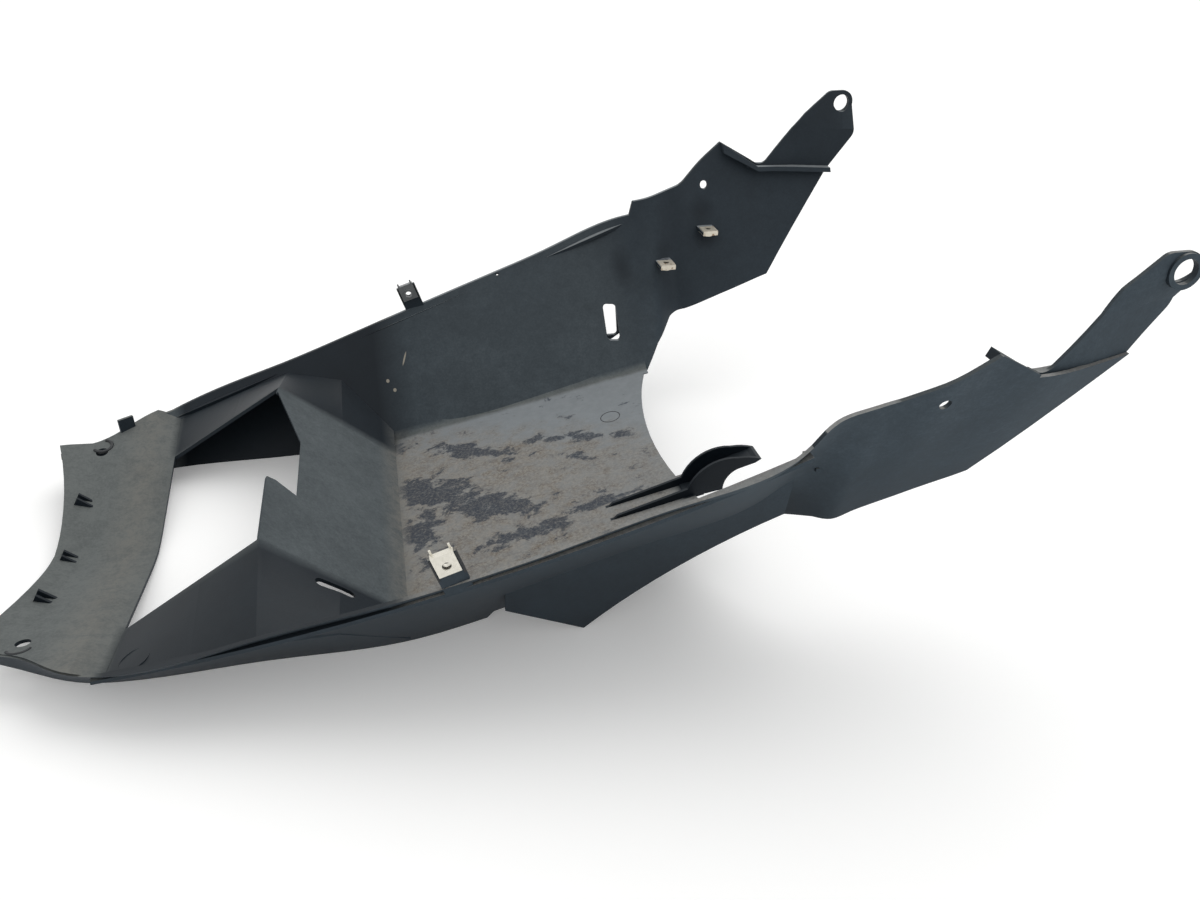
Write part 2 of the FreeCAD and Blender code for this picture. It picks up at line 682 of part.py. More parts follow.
def fin():
    """Belly fin under the far wall, a flat plate outside the wall."""
    front = Vector(size("fin_front_x"), size("fin_front_half"), size("fin_front_z"))
    tip = Vector(size("fin_tip_x"), size("fin_tip_half"), 0)
    rear = Vector(size("fin_rear_x"), size("fin_rear_half"), size("fin_rear_z"))
    hollow = (tip + rear) / 2 + (front - tip).normalize() * size("fin_hollow")
    edges = [
        Part.LineSegment(front, tip).toShape(),
        Part.Arc(tip, hollow, rear).toShape(),
        Part.LineSegment(rear, front).toShape(),
    ]
    plate = Part.Face(Part.Wire(edges))
    normal = (tip - front).cross(rear - front)
    rise = normal.cross(Vector(1, 0, 0)).normalize() * size("fin_root")
    if rise.z < 0:
        rise = rise * -1
    root = Part.Face(Part.makePolygon([front, rear, rear + rise, front + rise, front]))
    slabs = [face.extrude(ACROSS * -SKIN) for face in (plate, root)]
    return fused(slabs).cut(INSIDE)


# Tabs, ribs and the guide tongue
def rail_slope():
    ahead = rail_at(1)
    behind = rail_at(-1)
    return math.degrees(math.atan2(ahead.z - behind.z, 2))


def rail_tab():
    """Far clip tab, standing on the rail and turned to its slope."""
    width = size("tab_width")
    down = size("tab_hole_z") - rail_at(0).z + size("ledge_drop")
    corner = Vector(-width / 2, -size("tab_wall") / 2, -down)
    tab = Part.makeBox(width, size("tab_wall"), down + size("tab_over"), corner)
    tab.rotate(Vector(0, 0, 0), ACROSS, -rail_slope())
    tab.translate(Vector(0, size("tab_half"), size("tab_hole_z")))
    return tab


def front_tab():
    """Plain tab on the far front edge, turned to the edge's plan."""
    x = size("front_tab_x")
    width = size("front_tab_width")
    foot = on_wall(x, size("corner_z"), SKIN / 2)
    ahead = on_wall(x + width, size("corner_z"), SKIN / 2)
    turn = math.degrees(math.atan2(ahead.y - foot.y, width))
    root = size("front_tab_root")
    tab = Part.makeBox(width, WALL, size("front_tab_rise") + root, Vector(-width / 2, -WALL / 2, -root))
    tab.rotate(Vector(0, 0, 0), UP, turn)
    tab.translate(foot)
    return tab


def arm_tab(x, z):
    """Level clip tab standing off the inner face of the far arm."""
    width = size("arm_tab_width")
    wall = on_wall(x, z, SKIN / 2)
    reach = size("arm_tab_reach") + SKIN / 2
    corner = wall + Vector(-width / 2, -reach, -size("tab_wall") / 2)
    return Part.makeBox(width, reach, size("tab_wall"), corner)


def rib_pair(y):
    """Two small upright ribs on the dish."""
    ribs = []
    base = dish_height(y, size("dish_z"), size("dish_slope")) - size("rib_root")
    front = size("rib_x") - size("rib_length") / 2
    rear = size("rib_x") + size("rib_length") / 2
    for side in (-1, 1):
        place = y + side * (size("rib_gap") + size("rib_wall")) / 2 - size("rib_wall") / 2
        points = [
            Vector(front, place, base),
            Vector(rear, place, base),
            Vector(size("rib_x") - size("rib_lean"), place, base + size("rib_height")),
        ]
        ribs.append(closed_prism(points, ACROSS * size("rib_wall")))
    return ribs


def guide_profile(shift):
    """Side view of the tongue, from its root on the floor over the crown to its end."""
    root = side_point(size("guide_root_x"), floor_at(size("guide_root_x")) - size("guide_sink"))
    heel = root + side_point(size("guide_root_length"), size("guide_heel_rise"))
    crown = side_point(size("guide_crown_x"), size("guide_crown_z"))
    end = side_point(size("guide_end_x"), size("guide_end_z"))
    back_bulge = (crown - root).cross(ACROSS).normalize() * size("guide_back_bulge")
    shoulder = (root + crown) / 2 + back_bulge
    throat = crown + side_point(size("guide_throat_run"), -size("guide_depth"))
    throat_bulge = (throat - heel).cross(ACROSS).normalize() * size("guide_throat_bulge")
    inner = (heel + throat) / 2 + throat_bulge
    brow = (crown + end) / 2 + side_point(size("guide_end_bulge"), size("guide_end_lift"))
    tail = end - side_point(size("guide_tail"), size("guide_tail_drop"))
    edges = [
        Part.Arc(root, shoulder, crown).toShape(),
        Part.Arc(crown, brow, end).toShape(),
        Part.LineSegment(end, tail).toShape(),
        Part.LineSegment(tail, throat).toShape(),
        Part.Arc(throat, inner, heel).toShape(),
        Part.LineSegment(heel, root).toShape(),
    ]
    face = Part.Face(Part.Wire(edges))
    face.translate(shift)
    return face


def guide():
    """Channel tongue for a hose: two sides and a web, led in by two ribs on the floor."""
    width = size("guide_width")
    wall = size("guide_wall")
    near = size("guide_y") - width / 2
    body = guide_profile(ACROSS * near).extrude(ACROSS * width)
    lift = Vector(-size("guide_web_back"), near + wall, size("guide_web_rise"))
    body = body.cut(guide_profile(lift).extrude(ACROSS * (width - 2 * wall)))
    front_x = size("guide_front_x")
    root_x = size("guide_root_x") + size("guide_lead")
    sink = size("guide_sink")
    rib = size("guide_rib")
    pieces = [body]
    for y in (near, near + width - wall):
        points = [
            Vector(front_x, y, floor_at(front_x) - sink),
            Vector(root_x, y, floor_at(root_x) - sink),
            Vector(root_x, y, floor_at(root_x) + rib * 2),
            Vector(front_x + size("guide_lead"), y, floor_at(front_x) + rib),
        ]
        pieces.append(closed_prism(points, ACROSS * wall))
    foot_x = size("guide_root_x") + size("guide_root_length") / 2
    back_x = foot_x - size("guide_pad_length")
    points = [
        Vector(back_x, near, floor_at(back_x)),
        Vector(foot_x, near, floor_at(foot_x)),
        Vector(foot_x, near, floor_at(foot_x) - WALL),
        Vector(back_x, near, floor_at(back_x) - WALL),
    ]
    pieces.append(closed_prism(points, ACROSS * (width + size("guide_pad_over"))))
    return pieces


def shell_skin():
    """All walls of the moulding as one solid, before its holes."""
    far_side = [side_wall(), dish(), shelf(), floor(), crease(), rail_ledge(), fin(), rail_tab(),
                arm_tab(size("arm_tab_one_x"), size("arm_tab_one_z")),
                arm_tab(size("arm_tab_two_x"), size("arm_tab_two_z")), *rib_pair(size("rib_half"))]
    middle = [bulkhead(), front_tab(), *rib_pair(0), *guide()]
    far = fused(far_side)
    return fused([far, mirrored(far), *middle])


# The moulding stands with the bottom centre of its box on the origin
skin = shell_skin()
box = skin.optimalBoundingBox()
SHIFT = Vector(-(box.XMin + box.XMax) / 2, -(box.YMin + box.YMax) / 2, -box.ZMin)

ALONG_Y = Rotation(Vector(1, 0, 0), 90)
UPRIGHT = Rotation()
CUT_ACROSS = 2 * REACH

moulding = doc.addObject("Part::Feature", "moulding")
moulding.Shape = skin
moulding.Placement = Placement(SHIFT, UPRIGHT)


# Holes and slots
def bound(kind, name, expressions, base, rotation):
    """Document object whose sizes follow the sheet, placed in the part's frame."""
    item = doc.addObject(kind, name)
    for field, expression in expressions.items():
        item.setExpression(field, expression)
    item.Placement = Placement(base + SHIFT, rotation)
    return item


def hole_across(name, radius, x, z):
    """Hole through both sides of the part."""
    hole = bound("Part::Cylinder", name, {"Radius": f"sizes.{radius}"}, Vector(x, REACH, z), ALONG_Y)
    hole.Height = CUT_ACROSS
    return hole


def hole_down(name, radius, centre, depth):
    hole = bound("Part::Cylinder", name, {"Radius": f"sizes.{radius}"}, centre - UP * (depth / 2), UPRIGHT)
    hole.Height = depth
    return hole


def arm_hole_point(x, z, side):
    """Middle of the hole in an arm's clip tab, on the far or the near side."""
    wall = on_wall(x, z, SKIN / 2)
    half = wall.y - size("arm_tab_reach") - SKIN / 2 + size("tab_over")
    return Vector(x, side * half, z)


def near_slot():
    """Slot with round ends in the near flank."""
    half = (size("slot_near_length") - size("slot_near_width")) / 2
    radius = {"Radius": "sizes.slot_near_width / 2"}
    pieces = []
    for index, end in enumerate((-half, half)):
        base = Vector(size("slot_near_x") + end, -size("slot_near_half"), 0)
        pieces.append(bound("Part::Cylinder", f"near_slot_end_{index}", radius, base, UPRIGHT))
    sides = {"Length": "sizes.slot_near_length - sizes.slot_near_width", "Width": "sizes.slot_near_width"}
    corner = Vector(size("slot_near_x") - half, -size("slot_near_half") - size("slot_near_width") / 2, 0)
    pieces.append(bound("Part::Box", "near_slot_middle", sides, corner, UPRIGHT))
    for piece in pieces:
        piece.Height = REACH
    return pieces


def far_slot():
    """Upright slot with rounded corners in the far wall."""
    sides = {"Length": "sizes.slot_far_width", "Height": "sizes.slot_far_height"}
    corner = Vector(size("slot_far_x") - size("slot_far_width") / 2, 0,
                    size("slot_far_z") - size("slot_far_height") / 2)
    block = bound("Part::Box", "far_slot_block", sides, corner, UPRIGHT)
    block.Width = REACH
    doc.recompute()
    radius = size("slot_far_round")
    across = []
    for index, edge in enumerate(block.Shape.Edges, start=1):
        if abs(edge.tangentAt(edge.FirstParameter).y) > 0.9:
            across.append((index, radius, radius))
    slot = doc.addObject("Part::Fillet", "far_slot")
    slot.Base = block
    slot.Edges = across
    return slot


ARM_TABS = (
    ("front", size("arm_tab_one_x"), size("arm_tab_one_z")),
    ("rear", size("arm_tab_two_x"), size("arm_tab_two_z")),
)
SIDES = (("near", -1), ("far", 1))
DISH_CUT = 60.0
TAB_CUT = 8.0

cutters = [
    hole_across("arm_hole", "arm_hole_radius", size("arm_hole_x"), size("arm_hole_z")),
    hole_across("ear_hole", "ear_hole_radius", size("ear_x"), size("ear_z")),
    hole_across("rail_tab_hole", "tab_hole_radius", 0, size("tab_hole_z")),
]
for side_name, side in SIDES:
    dish_point = Vector(size("front_hole_x"), side * size("front_hole_half"), size("corner_z"))
    cutters.append(hole_down(f"dish_hole_{side_name}", "front_hole_radius", dish_point, DISH_CUT))
    for tab_name, tab_x, tab_z in ARM_TABS:
        tab_point = arm_hole_point(tab_x, tab_z, side)
        hole_name = f"arm_tab_hole_{tab_name}_{side_name}"
        cutters.append(hole_down(hole_name, "tab_hole_radius", tab_point, TAB_CUT))
ledge_point = rail_at(size("ledge_hole_x"))
ledge_point = ledge_point - Vector(0, (SKIN + size("ledge_width")) / 2, size("ledge_drop"))
cutters.append(hole_down("ledge_hole", "ledge_hole_radius", ledge_point, TAB_CUT))
cutters += near_slot()
cutters.append(far_slot())

openings = doc.addObject("Part::MultiFuse", "openings")
openings.Shapes = cutters

shell = doc.addObject("Part::Cut", "fairing_shell")
shell.Base = moulding
shell.Tool = openings


# Clip nuts
def plane_of(body, role):
    for item in body.Origin.OriginFeatures:
        if item.Role == role:
            return item
    raise RuntimeError(f"{body.Name} has no {role}")


def clip_outline(body):
    """U outline of a clip nut over a tab's edge, with its hole at the origin."""
    sketch = body.newObject("Sketcher::SketchObject", f"{body.Name}_outline")
    sketch.AttachmentSupport = (plane_of(body, "YZ_Plane"), "")
    sketch.MapMode = "FlatFace"
    inner = size("tab_wall") / 2 + size("clip_play")
    outer = inner + size("clip_sheet")
    crown = size("tab_over") + size("clip_play")
    top = crown + size("clip_sheet")
    low = crown - size("clip_leg")
    plan = [(-outer, top), (outer, top), (outer, low), (inner, low),
            (inner, crown), (-inner, crown), (-inner, low), (-outer, low)]
    corners = [Vector(across, height, 0) for across, height in plan]
    count = len(corners)
    for index in range(count):
        sketch.addGeometry(Part.LineSegment(corners[index], corners[(index + 1) % count]), False)
    for index in range(count):
        sketch.addConstraint(Sketcher.Constraint("Coincident", index, 2, (index + 1) % count, 1))
        if index % 2 == 1:
            sketch.addConstraint(Sketcher.Constraint("Vertical", index))
    for index in (2, 6):
        sketch.addConstraint(Sketcher.Constraint("Horizontal", index))
    sketch.addConstraint(Sketcher.Constraint("Symmetric", 0, 1, 0, 2, -2))
    sketch.addConstraint(Sketcher.Constraint("Symmetric", 4, 1, 4, 2, -2))
    sketch.addConstraint(Sketcher.Constraint("Horizontal", 2, 2, 6, 1))
    inside_width = "sizes.tab_wall + 2 * sizes.clip_play"
    drives = (
        (Sketcher.Constraint("DistanceX", 0, 1, 0, 2, 2 * outer), f"{inside_width} + 2 * sizes.clip_sheet"),
        (Sketcher.Constraint("DistanceX", 4, 2, 4, 1, 2 * inner), inside_width),
        (Sketcher.Constraint("DistanceY", -1, 1, 4, 1, crown), "sizes.tab_over + sizes.clip_play"),
        (Sketcher.Constraint("DistanceY", 4, 1, 0, 1, top - crown), "sizes.clip_sheet"),
        (Sketcher.Constraint("DistanceY", 2, 1, 4, 1, crown - low), "sizes.clip_leg"),
    )
    for constraint, expression in drives:
        index = sketch.addConstraint(constraint)
        sketch.setExpression(f"Constraints[{index}]", expression)
    return sketch


def clip_nut(name, place):
    """Spring steel clip nut: folded sheet, collar on one leg and a hole through both legs."""
    body = doc.addObject("PartDesign::Body", name)
    fold = body.newObject("PartDesign::Pad", f"{name}_fold")
    fold.Profile = clip_outline(body)
    fold.SideType = "Symmetric"
    fold.setExpression("Length", "sizes.clip_width")
    face = size("tab_wall") / 2 + size("clip_play")
    collar = body.newObject("PartDesign::AdditiveCylinder", f"{name}_collar")
    collar.setExpression("Radius", "sizes.clip_collar_radius")
    collar.setExpression("Height", "sizes.clip_collar_rise + sizes.clip_sheet")
    collar.Placement = Placement(Vector(0, -face, 0), ALONG_Y)
    bore = body.newObject("PartDesign::SubtractiveCylinder", f"{name}_bore")
    bore.setExpression("Radius", "sizes.clip_hole_radius")
    bore.Height = 2 * size("clip_width")
    bore.Placement = Placement(Vector(0, size("clip_width"), 0), ALONG_Y)
    body.Placement = Placement(place.Base + SHIFT, place.Rotation)
    return body


tab_turn = Rotation(ACROSS, -rail_slope())
clips = []
for side_name, side in SIDES:
    facing = Rotation(UP, 0 if side > 0 else 180)
    spot = Vector(0, side * size("tab_half"), size("tab_hole_z"))
    clips.append(clip_nut(f"clip_nut_rail_{side_name}", Placement(spot, tab_turn * facing)))
for tab_name, tab_x, tab_z in ARM_TABS:
    spot = arm_hole_point(tab_x, tab_z, 1)
    clips.append(clip_nut(f"clip_nut_arm_{tab_name}", Placement(spot, ALONG_Y)))

doc.recompute()

# Every object must be sound before anything is written
for item in doc.Objects:
    if "Invalid" in item.State or "Error" in item.State:
        raise RuntimeError(f"{item.Name} is in state {item.State}")

os.makedirs("parts", exist_ok=True)
for item in [shell] + clips:
    item.Label = item.Name
    if item.Shape.isNull() or not item.Shape.isValid():
        raise RuntimeError(f"{item.Name} has no valid shape")
    if len(item.Shape.Solids) != 1:
        raise RuntimeError(f"{item.Name} is not one solid")
    item.Shape.exportStep(f"parts/{item.Label}.step")
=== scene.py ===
import math
from types import SimpleNamespace
import bmesh
import bpy
from mathutils import Matrix, Vector
from mathutils.bvhtree import BVHTree


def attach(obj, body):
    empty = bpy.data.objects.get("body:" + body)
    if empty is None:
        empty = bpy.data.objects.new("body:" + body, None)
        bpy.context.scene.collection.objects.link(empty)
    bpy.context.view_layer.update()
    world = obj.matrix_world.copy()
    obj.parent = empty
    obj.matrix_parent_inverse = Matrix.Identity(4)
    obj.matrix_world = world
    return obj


# Lower fairing of a scooter, in metres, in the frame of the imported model: +X to the rear, far side at +Y
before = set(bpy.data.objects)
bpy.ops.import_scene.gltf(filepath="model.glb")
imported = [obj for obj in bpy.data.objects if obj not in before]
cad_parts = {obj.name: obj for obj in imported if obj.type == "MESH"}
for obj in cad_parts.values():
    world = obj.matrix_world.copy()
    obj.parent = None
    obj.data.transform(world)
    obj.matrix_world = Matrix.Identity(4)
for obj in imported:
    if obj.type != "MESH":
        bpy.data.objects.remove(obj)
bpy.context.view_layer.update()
MM = 0.001
PER_M = 1000
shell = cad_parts["fairing_shell"]

# Panels of the moulding that carry different dirt, and the shelves and flanks, which carry painted shade as
# well, in metres
CREASE_X = -0.084
SHELF_FRONT_X = -0.256
SHELF_HALF = 0.104
DISH_FOLD_X = -0.275
DISH_RIBS_X = -0.303
DISH_RIBS_HALF = 0.08
GUIDE_X = 0.108
GUIDE_Y = -0.0645
GUIDE_HALF = 0.0105
GUIDE_RIB_X = 0.058
GUIDE_RIB_OFF = 0.0079
GUIDE_RIB_HALF = 0.0014

# How far a rib's edge and a panel's edge are softened
EDGE = 0.001
SOFT_EDGE = 0.004

# Line on the floor between the grey film of the far side and the beige dirt of the near side: the way
# across it, how far along that way it lies, and how far it wanders
DIRT_LINE = (-0.523, -1.0, 0.0)
DIRT_LINE_AT = -0.079
DIRT_LINE_WANDER = 0.024

# Patches of the floor that water has washed dark: middle, half sizes in millimetres, turn in degrees
WASHED = (
    ((-91, 112), (27, 20), 70),
    ((-29, 76), (70, 15), -37),
    ((56, 48), (62, 10), -26),
    ((51, 20), (22, 8), -31),
    ((-56, 28), (56, 34), -35),
    ((-68, -26), (62, 27), 85),
    ((-20, -8), (64, 25), -33),
    ((3, -57), (54, 15), 0),
    ((66, -48), (60, 9), 2),
)

# Middle height and half height of all the washed patches, enough for the slope of the floor
WASHED_Z = 20
WASHED_HEIGHT = 60

# Dark smears on the far wall and arm, and painted shade above the arm's front clip: middle, half sizes in
# millimetres, turns in degrees
UNTURNED = (0, 0, 0)
SMEARS_AND_SHADE = (
    # Painted shade: the dark patch above the arm's front clip
    ((163, 196, 134), (14, 30, 12), UNTURNED),
    ((126, 190, 120), (12, 30, 22), UNTURNED),
    ((206, 195, 140), (16, 30, 12), UNTURNED),
    ((203, 205, 163), (14, 30, 14), UNTURNED),
    ((82, 160, 62), (5, 20, 5), UNTURNED),
)

# Pale scratch and two chips on the far wall, in the same way
SCRATCHES = (
    ((-68.8, 169.8, 58.9), (0.8, 7, 1.2), (49.6, 0, -29.3)),
    ((-84.7, 160, 43.8), (1.6, 3, 1.6), UNTURNED),
    ((-79.6, 154.3, 37.4), (1.6, 3, 1.6), UNTURNED),
)

POLYPROPYLENE_IOR = 1.49


# Colours and nodes
def linear(code):
    """Linear colour of an sRGB hex value."""
    parts = [int(code[i:i + 2], 16) / 255 for i in (0, 2, 4)]
    return (*(p / 12.92 if p <= 0.04045 else ((p + 0.055) / 1.055) ** 2.4 for p in parts), 1.0)


def add(tree, kind, links=None, **settings):
    """Adds a node with its settings; links gives each input a socket or a value."""
    node = tree.nodes.new(kind)
    for name, value in settings.items():
        setattr(node, name, value)
    for key, value in (links or {}).items():
        if isinstance(value, bpy.types.NodeSocket):
            tree.links.new(value, node.inputs[key])
        else:
            node.inputs[key].default_value = value
    return node


def material(name):
    """New material with a Principled shader, its tree and its Object coordinates."""
    made = bpy.data.materials.new(name)
    made.use_nodes = True
    tree = made.node_tree
    shader = tree.nodes["Principled BSDF"]
    place = add(tree, "ShaderNodeTexCoord").outputs["Object"]
    return made, tree, shader, place


def span(low, high, start=0.0, end=1.0):
    """Limits of a ramp."""
    return {"From Min": low, "From Max": high, "To Min": start, "To Max": end}


def grain(size, detail, roughness):
    """Settings of a noise with features of a size in millimetres."""
    return {"Scale": PER_M / size, "Detail": detail, "Roughness": roughness}


def blotches(tree, place, spots):
    """Largest of several soft ellipsoids, 1 in their middles and 0 outside."""
    whole = 0.0
    for middle, half, turns in spots:
        local = add(tree, "ShaderNodeMapping",
                    {"Vector": place, "Location": [c * MM for c in middle], "Scale": [c * MM for c in half],
                     "Rotation": [math.radians(turn) for turn in turns]}, vector_type="TEXTURE")
        ball = add(tree, "ShaderNodeTexGradient", {"Vector": local.outputs["Vector"]},
                   gradient_type="SPHERICAL")
        whole = add(tree, "ShaderNodeMath", {0: whole, 1: ball.outputs["Fac"]},
                    operation="MAXIMUM").outputs[0]
    return whole


def weighted(tree, share, weights):
    """A share multiplied by several ramps: rows of a value and its limits."""
    for value, limits in weights:
        ramp = add(tree, "ShaderNodeMapRange", {"Value": value, **limits}).outputs["Result"]
        share = add(tree, "ShaderNodeMath", {0: share, 1: ramp}, operation="MULTIPLY").outputs[0]
    return share


# Dust and dirt of the moulding
def dirt_guides(tree, place):
    """What the dirt follows: place and facing, clouds 45 mm across, mottle of 8 mm, grit of 2 mm, and ragged
    shapes of 13 mm drawn out a little along the part."""
    spot = add(tree, "ShaderNodeSeparateXYZ", {"Vector": place})
    y = spot.outputs["Y"]
    normal = add(tree, "ShaderNodeNewGeometry").outputs["Normal"]
    facing = add(tree, "ShaderNodeSeparateXYZ", {"Vector": normal})
    outward = add(tree, "ShaderNodeMath", {0: facing.outputs["Y"], 1: y}, operation="MULTIPLY")
    drawn = add(tree, "ShaderNodeMapping", {"Vector": place, "Scale": (0.75, 1.0, 1.0)}).outputs["Vector"]
    ragged = add(tree, "ShaderNodeTexNoise", {"Vector": drawn, **grain(13, 8.0, 0.68), "Distortion": 0.3})
    return SimpleNamespace(
        place=place, x=spot.outputs["X"], y=y, z=spot.outputs["Z"], up=facing.outputs["Z"],
        half=add(tree, "ShaderNodeMath", {0: y}, operation="ABSOLUTE").outputs[0],
        outward=outward.outputs[0],
        clouds=add(tree, "ShaderNodeTexNoise", {"Vector": place, **grain(45, 5.0, 0.6)}).outputs["Fac"],
        mottle=add(tree, "ShaderNodeTexNoise", {"Vector": place, **grain(8, 6.0, 0.72)}).outputs["Fac"],
        grit=add(tree, "ShaderNodeTexNoise", {"Vector": place, **grain(2, 3.0, 0.8)}).outputs["Fac"],
        ragged=ragged.outputs["Fac"])


def dust_free_and_shade_share(tree, at):
    """Where the dust is taken away, leaving the dark plastic: the shelves and flanks, where the dark is
    painted shade as well as less dust; the guide tongue; the ribs; and the smears on the far wall and arm,
    one of which is painted shade.
    """
    across = add(tree, "ShaderNodeMath", {0: at.y, 1: GUIDE_Y}, operation="SUBTRACT").outputs[0]
    across = add(tree, "ShaderNodeMath", {0: across}, operation="ABSOLUTE").outputs[0]
    guide_ribs = add(tree, "ShaderNodeMath", {0: across, 1: GUIDE_RIB_OFF, 2: GUIDE_RIB_HALF},
                     operation="COMPARE").outputs[0]
    # Shelves and flanks inside the part: painted shade as well as less dust, as the dust is taken from them
    # to darken them
    shelf_flank_shade_limits = (
        (at.half, SHELF_HALF - 0.003, SHELF_HALF + 0.006),
        (at.x, SHELF_FRONT_X - SOFT_EDGE, SHELF_FRONT_X + SOFT_EDGE),
        (at.x, CREASE_X + 0.02, CREASE_X - 0.01),
        (at.outward, 0.11, 0.06))
    tongue_limits = (
        (across, GUIDE_HALF + EDGE, GUIDE_HALF),
        (at.x, GUIDE_X - SOFT_EDGE, GUIDE_X + SOFT_EDGE))
    guide_rib_limits = ((at.x, GUIDE_RIB_X, GUIDE_RIB_X + EDGE),)
    dish_rib_limits = (
        (at.up, 0.9, 0.86),
        (at.x, DISH_RIBS_X, DISH_RIBS_X - EDGE),
        (at.half, DISH_RIBS_HALF, DISH_RIBS_HALF - EDGE))
    # The smears on the far wall and arm, one of them painted shade above the front clip
    smear_and_shade_limits = ((blotches(tree, at.place, SMEARS_AND_SHADE), 0.05, 0.7),)

    # Each mask starts at its most and is cut down by each of its limits in turn
    dust_free_and_shade = 0.0
    for mask, limits in ((1.0, shelf_flank_shade_limits), (1.0, tongue_limits), (guide_ribs, guide_rib_limits),
                         (1.0, dish_rib_limits), (0.7, smear_and_shade_limits)):
        for value, start, full in limits:
            mask = add(tree, "ShaderNodeMapRange", {"Value": value, **span(start, full, 0.0, mask)})
            mask = mask.outputs["Result"]
        dust_free_and_shade = add(tree, "ShaderNodeMath", {0: dust_free_and_shade, 1: mask}, operation="MAXIMUM").outputs[0]
    return dust_free_and_shade


def dust_share(tree, at, dust_free_and_shade):
    """Dust by slope and height, broken into clouds, mottle and grit; on the arms' outsides the dust is
    raised as painted light thrown up from the floor.
    """
    # Painted light: outsides high on the part get up to 2.6 times the dust, which lightens them as if lit by
    # the white floor below
    high = add(tree, "ShaderNodeMapRange", {"Value": at.outward, **span(0.05, 0.14, 0.6, 2.6)})
    slope = add(tree, "ShaderNodeMapRange", {"Value": at.up, **span(0.3, 1.0, 0.2, 0.95)},
                interpolation_type="SMOOTHSTEP")
    return weighted(tree, slope.outputs["Result"], (
        (at.z, span(0.05, 0.15, 1.0, high.outputs["Result"])),
        (at.clouds, span(0.3, 0.7, 0.85, 1.1)),
        (at.mottle, span(0.3, 0.7, 0.84, 1.12)),
        (at.grit, span(0.3, 0.7, 0.9, 1.1)),
        (dust_free_and_shade, span(0.0, 1.0, 1.0, 0.06))))


def dirt_share(tree, at, dust_free_and_shade, on_floor):
    """Beige dirt on the floor, from a slanted wandering line on the far side to the near wall."""
    line = add(tree, "ShaderNodeVectorMath", {0: at.place, 1: DIRT_LINE}, operation="DOT_PRODUCT")
    wander = add(tree, "ShaderNodeMapRange",
                 {"Value": at.ragged, **span(0.3, 0.7, -DIRT_LINE_WANDER, DIRT_LINE_WANDER)})
    line = add(tree, "ShaderNodeMath", {0: line.outputs["Value"], 1: wander.outputs["Result"]},
               operation="ADD").outputs[0]
    dirt = add(tree, "ShaderNodeMapRange",
               {"Value": line, **span(DIRT_LINE_AT - 0.03, DIRT_LINE_AT + 0.02, 0.0, on_floor)})
    return weighted(tree, dirt.outputs["Result"], (
        (at.x, span(0.02, 0.13, 0.85, 0.5)),
        (at.mottle, span(0.34, 0.6, 0.55, 1.1)),
        (dust_free_and_shade, span(0.0, 1.0, 1.0, 0.0))))


def washed_share(tree, at, on_floor):
    """Washed patches: soft ellipses broken up by the ragged shapes, with grit left lying in them."""
    spots = [((*middle, WASHED_Z), (*half, WASHED_HEIGHT), (0, 0, turn)) for middle, half, turn in WASHED]
    torn = add(tree, "ShaderNodeMath", {0: at.ragged, 1: 3.4, 2: -1.8}, operation="MULTIPLY_ADD").outputs[0]
    torn = add(tree, "ShaderNodeMath", {0: torn, 1: blotches(tree, at.place, spots)}, operation="ADD")
    washed = add(tree, "ShaderNodeMapRange", {"Value": torn.outputs[0], **span(0.2, 0.5, 0.0, on_floor)},
                 interpolation_type="SMOOTHSTEP")
    return weighted(tree, washed.outputs["Result"], ((at.grit, span(0.42, 0.66, 0.94, 0.55)),))


def gathered_share(tree, at, dust_free_and_shade):
    """Pale dust along the crease between bulkhead and floor, and along the dish's fold."""
    gathered = 0.0
    for middle_x, reach, most in ((CREASE_X, 0.014, 0.5), (DISH_FOLD_X, 0.022, 0.35)):
        off = add(tree, "ShaderNodeMath", {0: at.x, 1: middle_x}, operation="SUBTRACT").outputs[0]
        off = add(tree, "ShaderNodeMath", {0: off}, operation="ABSOLUTE").outputs[0]
        band = add(tree, "ShaderNodeMapRange", {"Value": off, **span(reach, 0.0, 0.0, most)})
        gathered = add(tree, "ShaderNodeMath", {0: gathered, 1: band.outputs["Result"]},
                       operation="MAXIMUM").outputs[0]
    return weighted(tree, gathered, (
        (at.up, span(0.66, 0.74)),
        (at.mottle, span(0.35, 0.6, 0.3, 1.2)),
        (dust_free_and_shade, span(0.0, 1.0, 1.0, 0.0))))


